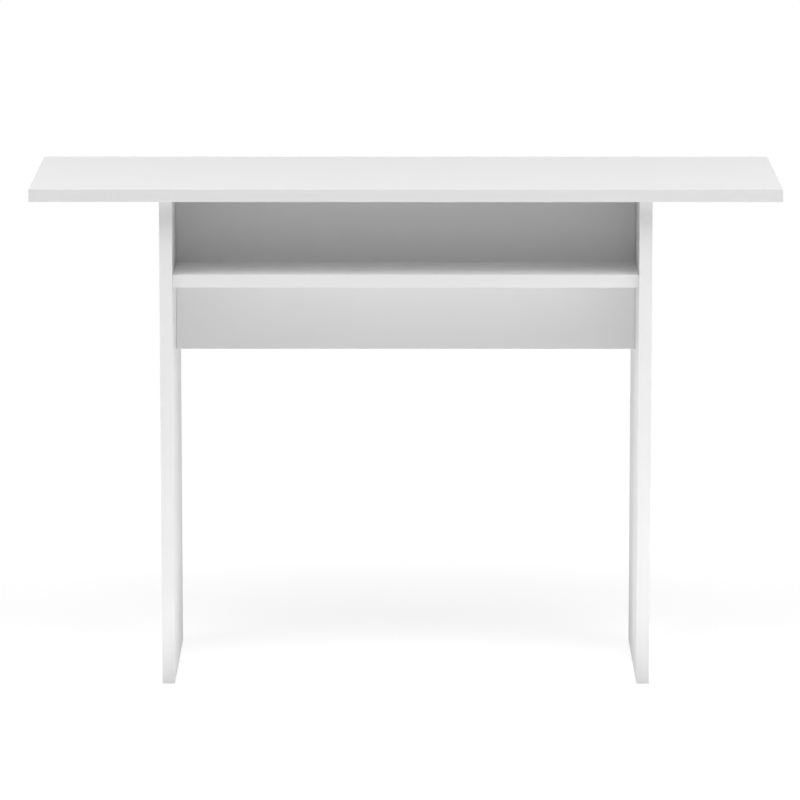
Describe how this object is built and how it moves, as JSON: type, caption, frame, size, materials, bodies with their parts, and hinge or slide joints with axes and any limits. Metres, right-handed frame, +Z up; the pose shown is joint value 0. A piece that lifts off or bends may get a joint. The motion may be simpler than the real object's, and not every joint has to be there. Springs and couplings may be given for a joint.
{
  "type": "swivel extending table",
  "caption": "Narrow white console table with side panel legs and an open shelf; its folded top turns a quarter turn and unfolds to a dining table of twice the depth.",
  "frame": {"origin": "on the floor, midway between the side panels and midway in the base's depth", "axes": "+Z up, +X along the folded top, the open shelf faces -Y"},
  "size_m": [1.12, 0.3727, 0.76],
  "materials": {
    "white_melamine": "white melamine faced board, fine satin texture",
    "white_edge_band": "white ABS edge band, satin",
    "white_cap": "moulded white cover cap",
    "nylon": "natural nylon, matt",
    "beech_dowel": "grooved beech dowel",
    "zinc_cam": "die-cast zinc",
    "zinc_plated_steel": "zinc-plated steel",
    "nickel_plated_hinge": "nickel-plated steel hinge"
  },
  "bodies": {
    "base": {"side_panel_left": "white_melamine", "side_panel_left_edge_bands": "white_edge_band", "side_panel_right": "white_melamine", "side_panel_right_edge_bands": "white_edge_band", "centre_panel": "white_melamine", "centre_panel_edge_bands": "white_edge_band", "front_shelf": "white_melamine", "front_shelf_edge_band": "white_edge_band", "pivot_board": "white_melamine", "pivot_board_edge_band": "white_edge_band", "centre_panel_dowels": "beech_dowel", "shelf_dowels": "beech_dowel", "pivot_board_dowels": "beech_dowel", "centre_panel_cam_nuts": "zinc_cam", "centre_panel_cam_bolts": "zinc_plated_steel", "shelf_cam_nuts": "zinc_cam", "shelf_cam_bolts": "zinc_plated_steel", "pivot_board_cam_nuts": "zinc_cam", "pivot_board_cam_bolts": "zinc_plated_steel", "cam_cover_caps": "white_cap", "shelf_confirmat_screws": "zinc_plated_steel", "confirmat_cover_caps": "white_cap", "floor_glides": "nylon", "floor_glide_nails": "zinc_plated_steel", "slide_pads": "nylon", "pivot_bush": "nylon", "pivot_thrust_washer": "nylon"},
    "swivel_leaf": {"lower_leaf": "white_melamine", "lower_leaf_edge_bands": "white_edge_band", "pivot_flange": "zinc_plated_steel", "pivot_flange_screws": "zinc_plated_steel", "pivot_steel_washer": "zinc_plated_steel", "pivot_spring_washer": "zinc_plated_steel", "pivot_lock_nut": "zinc_plated_steel", "stop_peg": "zinc_plated_steel", "hinge_lower_plate_left_outer": "nickel_plated_hinge", "hinge_lower_plate_left_inner": "nickel_plated_hinge", "hinge_lower_plate_right_inner": "nickel_plated_hinge", "hinge_lower_plate_right_outer": "nickel_plated_hinge", "hinge_pins": "zinc_plated_steel", "hinge_lower_screws": "nickel_plated_hinge"},
    "flap_leaf": {"upper_leaf": "white_melamine", "upper_leaf_edge_bands": "white_edge_band", "hinge_upper_plate_left_outer": "nickel_plated_hinge", "hinge_upper_plate_left_inner": "nickel_plated_hinge", "hinge_upper_plate_right_inner": "nickel_plated_hinge", "hinge_upper_plate_right_outer": "nickel_plated_hinge", "hinge_upper_screws": "nickel_plated_hinge"}
  },
  "joints": [
    {"name": "top_swivel", "type": "hinge", "parent": "base", "child": "swivel_leaf", "pos_m": [0.0925, 0.0925, 0.741], "axis": [0, 0, 1], "range_deg": [0, 90]},
    {"name": "flap_fold", "type": "hinge", "parent": "swivel_leaf", "child": "flap_leaf", "pos_m": [0, 0.1852, 0.7505], "axis": [-1, 0, 0], "range_deg": [0, 180]}
  ]
}
